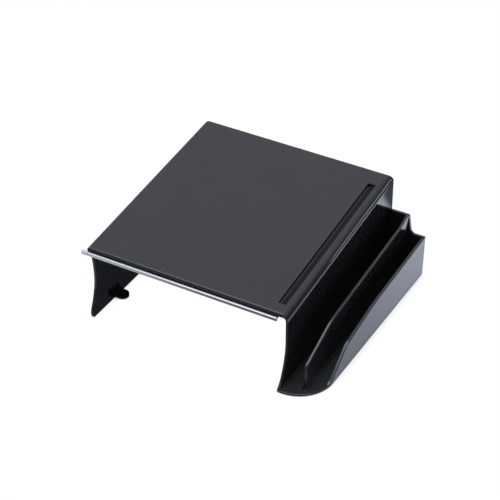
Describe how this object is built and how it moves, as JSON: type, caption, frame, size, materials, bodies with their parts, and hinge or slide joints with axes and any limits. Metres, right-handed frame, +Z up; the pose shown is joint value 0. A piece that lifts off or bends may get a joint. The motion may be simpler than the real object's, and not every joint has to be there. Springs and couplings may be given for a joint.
{
  "type": "telephone stand",
  "caption": "Sloping desk stand for a telephone, with a bay for a phone book below, a pencil groove, a pull-out index tray and a divided side organizer.",
  "frame": {"origin": "on the table, under the middle of the whole stand's outline", "axes": "+X to the side with the organizer, +Y to the back, +Z up; the front, with the open bay and the tray, faces -Y"},
  "size_m": [0.327, 0.2964, 0.1308],
  "materials": {
    "black_plastic": "satin gloss black moulded polystyrene",
    "tray_plastic": "fine matte black",
    "bar_metal": "satin, brushed along its length",
    "runner_plastic": "smooth matte black",
    "zinc_screw": "zinc plated",
    "rubber": "matte"
  },
  "bodies": {
    "stand": {"platform_shell": "black_plastic", "side_organizer": "black_plastic", "organizer_divider": "black_plastic", "runner_left": "runner_plastic", "runner_right": "runner_plastic", "runner_screws": "zinc_screw", "organizer_screws": "zinc_screw", "foot_left_front": "rubber", "foot_left_back": "rubber", "foot_organizer_front_inner": "rubber", "foot_organizer_front_outer": "rubber", "foot_organizer_back_inner": "rubber", "foot_organizer_back_outer": "rubber"},
    "tray": {"index_tray": "tray_plastic", "tray_pull_bar": "bar_metal"}
  },
  "joints": [
    {"name": "tray_slide", "type": "slide", "parent": "stand", "child": "tray", "axis": [0, -1, 0], "range_m": [0, 0.15]}
  ]
}
